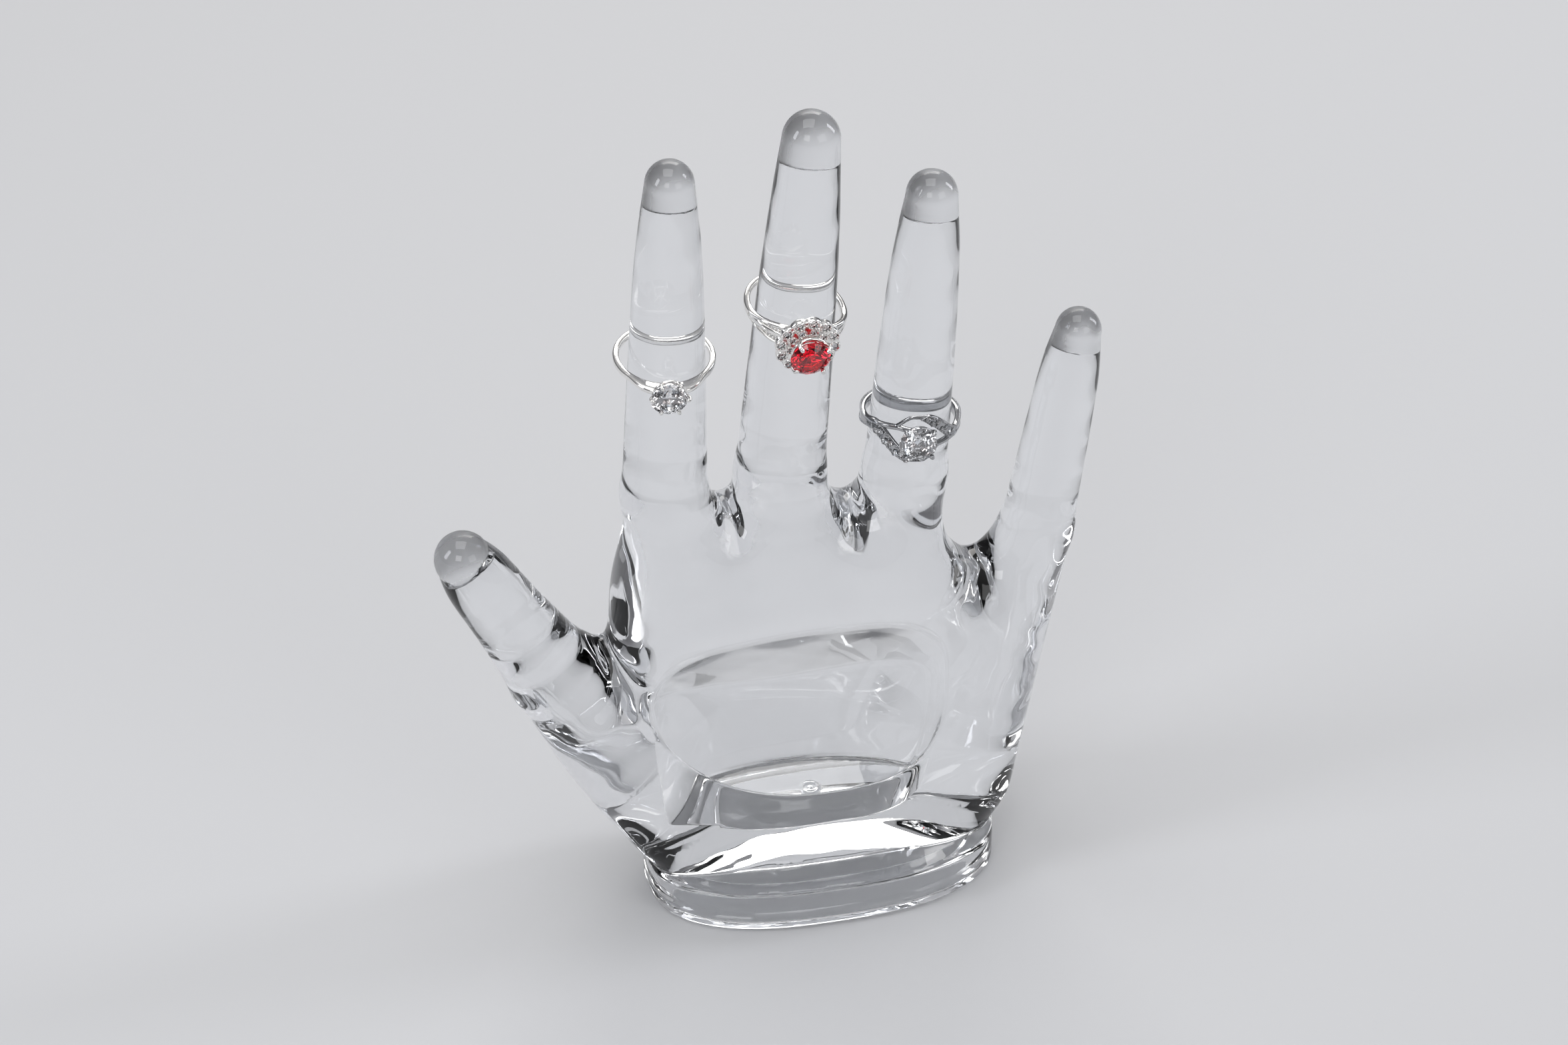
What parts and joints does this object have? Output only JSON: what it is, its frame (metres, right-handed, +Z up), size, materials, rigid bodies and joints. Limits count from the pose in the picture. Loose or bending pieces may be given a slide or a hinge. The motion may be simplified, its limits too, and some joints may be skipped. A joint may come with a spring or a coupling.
{
  "type": "hand jewelry display",
  "caption": "Clear moulded hand on an oval plinth with an open palm pocket, its upright fingers carrying removable gem-set rings.",
  "frame": {"origin": "on the table under the middle of the whole outline", "axes": "+Z up the fingers, palm towards -Y, thumb towards -X; the plinth's long axis lies along X"},
  "size_m": [0.1382, 0.044, 0.1831],
  "materials": {
    "acrylic": "clear polished",
    "white_metal": "polished",
    "dark_metal": "polished",
    "clear_gem": "faceted",
    "red_gem": "faceted"
  },
  "bodies": {
    "hand": {"hand_moulding": "acrylic"},
    "solitaire_ring": {"solitaire_band": "white_metal", "solitaire_head": "white_metal", "solitaire_stone": "clear_gem"},
    "cluster_ring": {"cluster_shank": "white_metal", "cluster_halo": "white_metal", "cluster_claws": "white_metal", "cluster_stone": "red_gem", "cluster_outer_01": "clear_gem", "cluster_outer_02": "clear_gem", "cluster_outer_03": "clear_gem", "cluster_outer_04": "clear_gem", "cluster_outer_05": "clear_gem", "cluster_outer_06": "clear_gem", "cluster_outer_07": "clear_gem", "cluster_outer_08": "clear_gem", "cluster_outer_09": "clear_gem", "cluster_outer_10": "clear_gem", "cluster_outer_11": "clear_gem", "cluster_outer_12": "clear_gem", "cluster_inner_01": "clear_gem", "cluster_inner_02": "clear_gem", "cluster_inner_03": "clear_gem", "cluster_inner_04": "clear_gem", "cluster_inner_05": "clear_gem", "cluster_inner_06": "clear_gem", "cluster_inner_07": "clear_gem", "cluster_inner_08": "clear_gem", "cluster_inner_09": "clear_gem"},
    "bypass_ring": {"bypass_band": "dark_metal", "bypass_head": "dark_metal", "bypass_stone": "clear_gem", "bypass_upper_01": "clear_gem", "bypass_upper_02": "clear_gem", "bypass_upper_03": "clear_gem", "bypass_upper_04": "clear_gem", "bypass_upper_05": "clear_gem", "bypass_upper_06": "clear_gem", "bypass_upper_07": "clear_gem", "bypass_lower_01": "clear_gem", "bypass_lower_02": "clear_gem", "bypass_lower_03": "clear_gem", "bypass_lower_04": "clear_gem", "bypass_lower_05": "clear_gem", "bypass_lower_06": "clear_gem", "bypass_lower_07": "clear_gem"}
  },
  "joints": [
    {"name": "solitaire_lift", "type": "slide", "parent": "hand", "child": "solitaire_ring", "axis": [0.0332, 0, 0.9995], "range_m": [0, 0.055]},
    {"name": "cluster_lift", "type": "slide", "parent": "hand", "child": "cluster_ring", "axis": [0.0819, 0, 0.9966], "range_m": [0, 0.055]},
    {"name": "bypass_lift", "type": "slide", "parent": "hand", "child": "bypass_ring", "axis": [0.068, 0, 0.9977], "range_m": [0, 0.065]}
  ]
}
